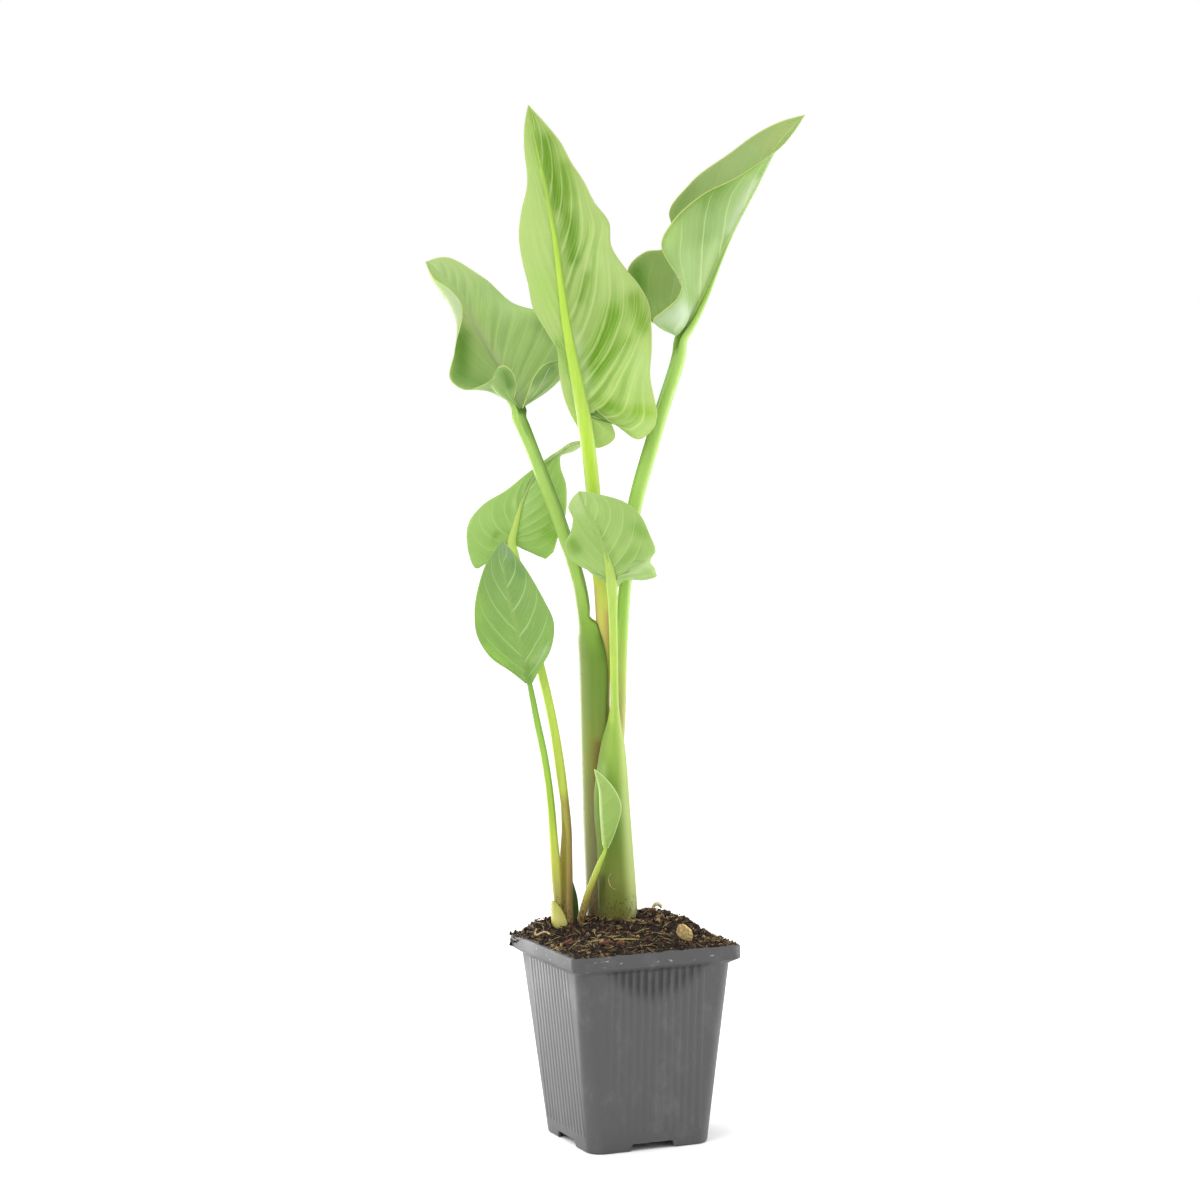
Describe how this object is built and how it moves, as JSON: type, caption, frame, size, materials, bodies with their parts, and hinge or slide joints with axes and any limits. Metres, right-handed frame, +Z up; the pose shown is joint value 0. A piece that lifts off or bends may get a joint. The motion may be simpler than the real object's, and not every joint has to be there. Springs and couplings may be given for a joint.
{
  "type": "potted calla lily",
  "caption": "Young calla lily: arrow-shaped leaves on sheathed stalks rise in two tufts from potting soil in a square, tapered nursery pot.",
  "frame": {"origin": "centre of the pot's base, on the surface that it stands on", "axes": "+Z up through the pot and the plant; X and Y square to the pot's sides"},
  "size_m": [0.1792, 0.1183, 0.5145],
  "materials": {
    "pot_plastic": "satin",
    "potting_soil": "matte",
    "rhizome_skin": "matte",
    "bright_leaf": "satin",
    "soft_leaf": "satin",
    "silver_leaf": "satin",
    "leaf_stalk": "satin",
    "shoot_green": "satin",
    "scale_yellow": "satin",
    "wood_chip": "matte",
    "bark": "matte",
    "straw": "matte",
    "dry_root": "matte"
  },
  "bodies": {
    "root": {"pot": "pot_plastic", "potting_soil": "potting_soil", "rhizome": "rhizome_skin", "center_leaf_blade": "bright_leaf", "center_leaf_stalk": "leaf_stalk", "right_leaf_blade": "soft_leaf", "right_leaf_stalk": "leaf_stalk", "left_leaf_blade": "silver_leaf", "left_leaf_stalk": "leaf_stalk", "back_leaf_blade": "soft_leaf", "back_leaf_stalk": "leaf_stalk", "front_leaf_blade": "bright_leaf", "front_leaf_stalk": "leaf_stalk", "small_leaf_blade": "silver_leaf", "small_leaf_stalk": "leaf_stalk", "young_leaf_blade": "bright_leaf", "young_leaf_stalk": "leaf_stalk", "side_shoot": "shoot_green", "basal_scale": "scale_yellow", "wood_chip": "wood_chip", "bark_piece_1": "bark", "bark_piece_2": "bark", "bark_piece_3": "bark", "bark_piece_4": "bark", "twig": "wood_chip", "straw": "straw", "curled_root": "dry_root"}
  },
  "joints": []
}
